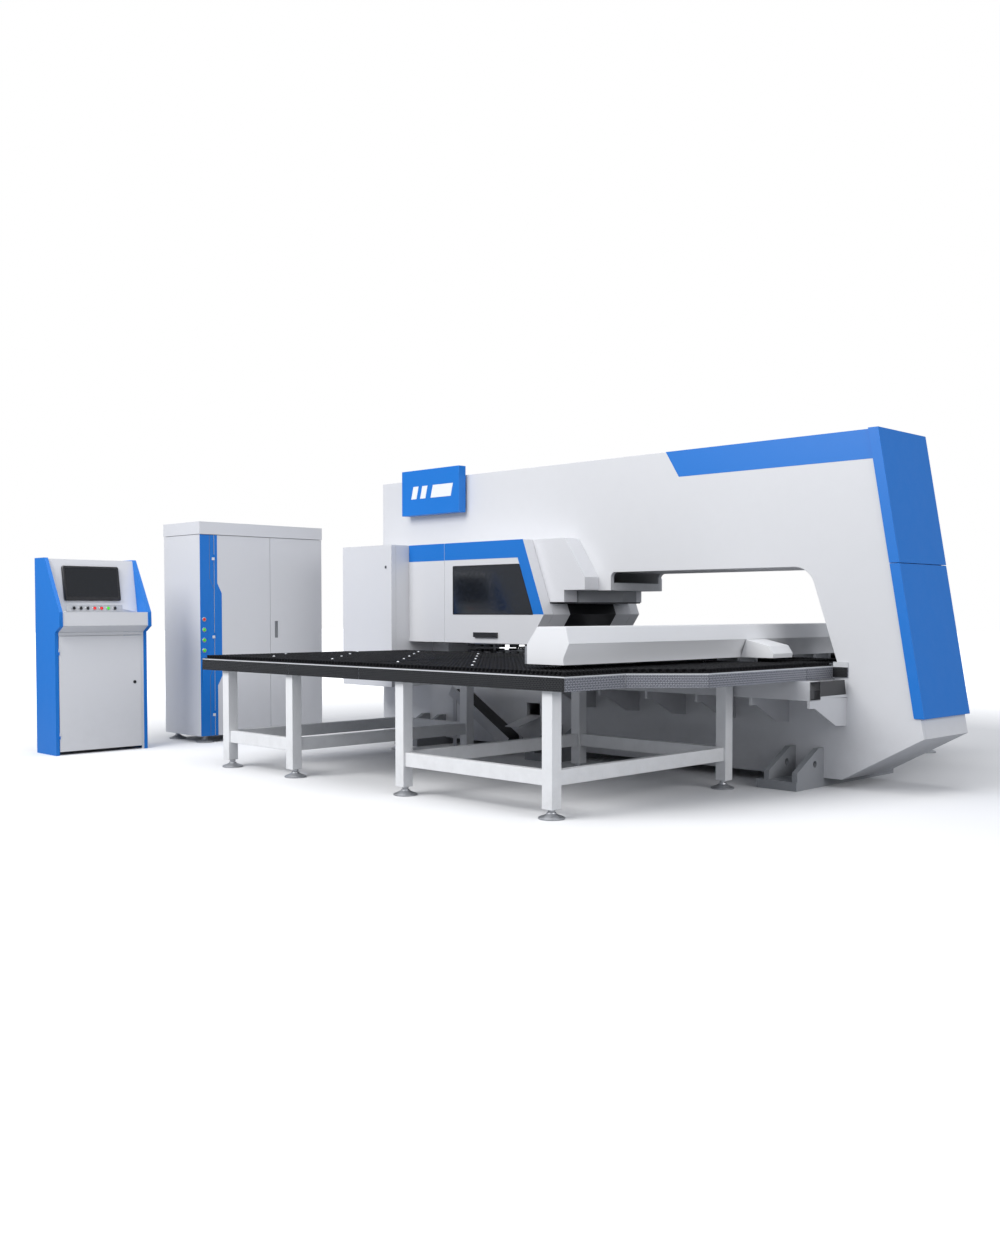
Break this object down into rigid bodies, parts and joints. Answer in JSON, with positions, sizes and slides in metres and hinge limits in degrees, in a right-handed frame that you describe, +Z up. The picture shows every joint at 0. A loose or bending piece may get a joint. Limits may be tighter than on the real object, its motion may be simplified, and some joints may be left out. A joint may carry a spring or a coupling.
{
  "type": "turret punch press",
  "caption": "CNC turret punch press: closed O-frame, servo gantry feeding sheet over brush tables into a rotating tool turret, with a slug conveyor, cabinet and console.",
  "frame": {"origin": "on the floor, at the centre of the four corner anchor holes, in the middle plane between the two side plates", "axes": "+X along the gantry beam, towards the far tables; +Y along the frame from its sloping front towards the electrical cabinet; +Z up"},
  "size_m": [5.622, 6.6414, 2.435],
  "materials": {
    "body_paint": "satin light grey powder coat",
    "side_paint": "satin light grey powder coat",
    "leg_paint": "satin white powder coat",
    "blue_paint": "satin blue powder coat",
    "guide_paint": "satin grey powder coat",
    "cover_paint": "satin white powder coat",
    "housing_paint": "satin mid grey paint",
    "base_paint": "satin grey paint",
    "machined_steel": "ground steel",
    "black_oxide": "blackened tool steel",
    "galvanised": "folded galvanised sheet",
    "tread_plate": "tread plate",
    "brush_black": "dense nylon bristles",
    "belt_rubber": "textured rubber belt",
    "ball_chrome": "polished balls in pressed cups",
    "foot_metal": "zinc plated",
    "drive_black": "black painted castings",
    "window_glass": "dark tinted polycarbonate",
    "screen_black": "gloss black bezel and screen",
    "red_plastic": "gloss red",
    "green_plastic": "gloss green",
    "black_plastic": "black knob"
  },
  "bodies": {
    "machine": {"frame_plate_near": "side_paint", "frame_plate_far": "side_paint", "frame_web_plates": "side_paint", "base_plates": "base_paint", "end_cover_upper": "blue_paint", "end_cover_lower": "blue_paint", "guide_beams": "guide_paint", "y_rails": "machined_steel", "hammer_housing": "housing_paint", "press_drive": "drive_black", "turret_bearings": "machined_steel", "guard_panels": "body_paint", "head_covers": "body_paint", "sign_board": "blue_paint", "side_box": "body_paint", "table_decks": "galvanised", "table_skirts": "tread_plate", "table_frames": "leg_paint", "brush_mats": "brush_black", "ball_transfers": "ball_chrome", "levelling_feet": "foot_metal", "conveyor_frame": "galvanised", "conveyor_belt": "belt_rubber", "cabinet_shell": "body_paint", "console_body": "body_paint", "console_sides": "blue_paint", "console_monitor": "screen_black"},
    "gantry": {"gantry_beam": "cover_paint", "gantry_saddles": "machined_steel", "gantry_cover": "cover_paint", "x_rails": "machined_steel"},
    "carriage": {"x_carriage": "machined_steel", "clamp_bodies": "machined_steel"},
    "jaws": {"clamp_jaws": "black_oxide"},
    "x_ball_screw": {"x_screw": "machined_steel"},
    "y_ball_screw": {"y_screw": "machined_steel"},
    "press_ram": {"ram": "machined_steel"},
    "turret_top": {"upper_turret": "machined_steel", "punches": "black_oxide"},
    "turret_bottom": {"lower_turret": "machined_steel", "dies": "black_oxide"},
    "guard": {"guard_door": "body_paint", "guard_window": "window_glass"},
    "side_door": {"side_box_door": "body_paint"},
    "cabinet_left_door": {"cabinet_door_left": "body_paint"},
    "cabinet_right_door": {"cabinet_door_right": "body_paint"},
    "console_front_door": {"console_door": "body_paint"},
    "belt_drive_roller": {"drive_roller": "machined_steel"},
    "belt_return_roller": {"return_roller": "machined_steel"},
    "cabinet_button_1_body": {"cabinet_button_1": "red_plastic"},
    "cabinet_button_2_body": {"cabinet_button_2": "green_plastic"},
    "cabinet_button_3_body": {"cabinet_button_3": "green_plastic"},
    "cabinet_button_4_body": {"cabinet_button_4": "green_plastic"},
    "push_button_4_body": {"push_button_4": "red_plastic"},
    "push_button_5_body": {"push_button_5": "red_plastic"},
    "push_button_6_body": {"push_button_6": "green_plastic"},
    "selector_1_body": {"selector_1": "black_plastic"},
    "selector_2_body": {"selector_2": "black_plastic"},
    "selector_3_body": {"selector_3": "black_plastic"},
    "selector_7_body": {"selector_7": "black_plastic"}
  },
  "joints": [
    {"name": "y_axis", "type": "slide", "parent": "machine", "child": "gantry", "axis": [0, 1, 0], "range_m": [0, 1.25]},
    {"name": "x_axis", "type": "slide", "parent": "gantry", "child": "carriage", "axis": [1, 0, 0], "range_m": [0, 2.5]},
    {"name": "clamp_jaw_pivot", "type": "hinge", "parent": "carriage", "child": "jaws", "pos_m": [0, -1.079, 0.903], "axis": [1, 0, 0], "range_deg": [0, 12]},
    {"name": "x_screw_spin", "type": "hinge", "parent": "gantry", "child": "x_ball_screw", "pos_m": [0, -1.25, 0.92], "axis": [1, 0, 0], "continuous": true},
    {"name": "y_screw_spin", "type": "hinge", "parent": "machine", "child": "y_ball_screw", "pos_m": [-0.59, 0, 0.672], "axis": [0, 1, 0], "continuous": true},
    {"name": "ram_stroke", "type": "slide", "parent": "machine", "child": "press_ram", "axis": [0, 0, -1], "range_m": [0, 0.037]},
    {"name": "upper_turret_index", "type": "hinge", "parent": "machine", "child": "turret_top", "pos_m": [0, 1.08, 0.97], "axis": [0, 0, 1], "continuous": true},
    {"name": "lower_turret_index", "type": "hinge", "parent": "machine", "child": "turret_bottom", "pos_m": [0, 1.08, 0.785], "axis": [0, 0, 1], "continuous": true},
    {"name": "guard_door_hinge", "type": "hinge", "parent": "machine", "child": "guard", "pos_m": [-0.488, 0.9, 1.7595], "axis": [0, 1, 0], "range_deg": [0, 80]},
    {"name": "side_box_door_hinge", "type": "hinge", "parent": "machine", "child": "side_door", "pos_m": [-0.749, 2.6455, 1.1], "axis": [0, 0, -1], "range_deg": [0, 110]},
    {"name": "cabinet_left_door_hinge", "type": "hinge", "parent": "machine", "child": "cabinet_left_door", "pos_m": [-1.706, 3.3355, 0.96], "axis": [0, 0, -1], "range_deg": [0, 110]},
    {"name": "cabinet_right_door_hinge", "type": "hinge", "parent": "machine", "child": "cabinet_right_door", "pos_m": [-0.5145, 3.363, 0.96], "axis": [0, 0, 1], "range_deg": [0, 110]},
    {"name": "console_door_hinge", "type": "hinge", "parent": "machine", "child": "console_front_door", "pos_m": [-3.161, 3.3295, 0.5], "axis": [0, 0, -1], "range_deg": [0, 110]},
    {"name": "drive_roller_spin", "type": "hinge", "parent": "machine", "child": "belt_drive_roller", "pos_m": [-0.535, 1.35, 0.479], "axis": [1, 0, 0], "continuous": true},
    {"name": "return_roller_spin", "type": "hinge", "parent": "machine", "child": "belt_return_roller", "pos_m": [-0.535, 0.78, 0.138], "axis": [1, 0, 0], "continuous": true},
    {"name": "cabinet_button_1_press", "type": "slide", "parent": "machine", "child": "cabinet_button_1_body", "axis": [0, 1, 0], "range_m": [0, 0.005], "stiffness_N_per_m": 400, "springref_m": -0.002},
    {"name": "cabinet_button_2_press", "type": "slide", "parent": "machine", "child": "cabinet_button_2_body", "axis": [0, 1, 0], "range_m": [0, 0.005], "stiffness_N_per_m": 400, "springref_m": -0.002},
    {"name": "cabinet_button_3_press", "type": "slide", "parent": "machine", "child": "cabinet_button_3_body", "axis": [0, 1, 0], "range_m": [0, 0.005], "stiffness_N_per_m": 400, "springref_m": -0.002},
    {"name": "cabinet_button_4_press", "type": "slide", "parent": "machine", "child": "cabinet_button_4_body", "axis": [0, 1, 0], "range_m": [0, 0.005], "stiffness_N_per_m": 400, "springref_m": -0.002},
    {"name": "push_button_4_press", "type": "slide", "parent": "machine", "child": "push_button_4_body", "axis": [0, 0.9857, -0.1688], "range_m": [0, 0.005], "stiffness_N_per_m": 400, "springref_m": -0.002},
    {"name": "push_button_5_press", "type": "slide", "parent": "machine", "child": "push_button_5_body", "axis": [0, 0.9857, -0.1688], "range_m": [0, 0.005], "stiffness_N_per_m": 400, "springref_m": -0.002},
    {"name": "push_button_6_press", "type": "slide", "parent": "machine", "child": "push_button_6_body", "axis": [0, 0.9857, -0.1688], "range_m": [0, 0.005], "stiffness_N_per_m": 400, "springref_m": -0.002},
    {"name": "selector_1_turn", "type": "hinge", "parent": "machine", "child": "selector_1_body", "pos_m": [-2.977, 3.4424, 1.20254], "axis": [0, -0.9857, 0.1688], "range_deg": [-45, 45]},
    {"name": "selector_2_turn", "type": "hinge", "parent": "machine", "child": "selector_2_body", "pos_m": [-2.9163, 3.4424, 1.20254], "axis": [0, -0.9857, 0.1688], "range_deg": [-45, 45]},
    {"name": "selector_3_turn", "type": "hinge", "parent": "machine", "child": "selector_3_body", "pos_m": [-2.8556, 3.4424, 1.20254], "axis": [0, -0.9857, 0.1688], "range_deg": [-45, 45]},
    {"name": "selector_7_turn", "type": "hinge", "parent": "machine", "child": "selector_7_body", "pos_m": [-2.6128, 3.4424, 1.20254], "axis": [0, -0.9857, 0.1688], "range_deg": [-45, 45]}
  ],
  "couplings": [
    {"joint": "x_screw_spin", "follows": "x_axis", "rad_per_m": 125.66},
    {"joint": "y_screw_spin", "follows": "y_axis", "rad_per_m": 125.66},
    {"joint": "lower_turret_index", "follows": "upper_turret_index", "ratio": 1},
    {"joint": "return_roller_spin", "follows": "drive_roller_spin", "ratio": 1}
  ]
}
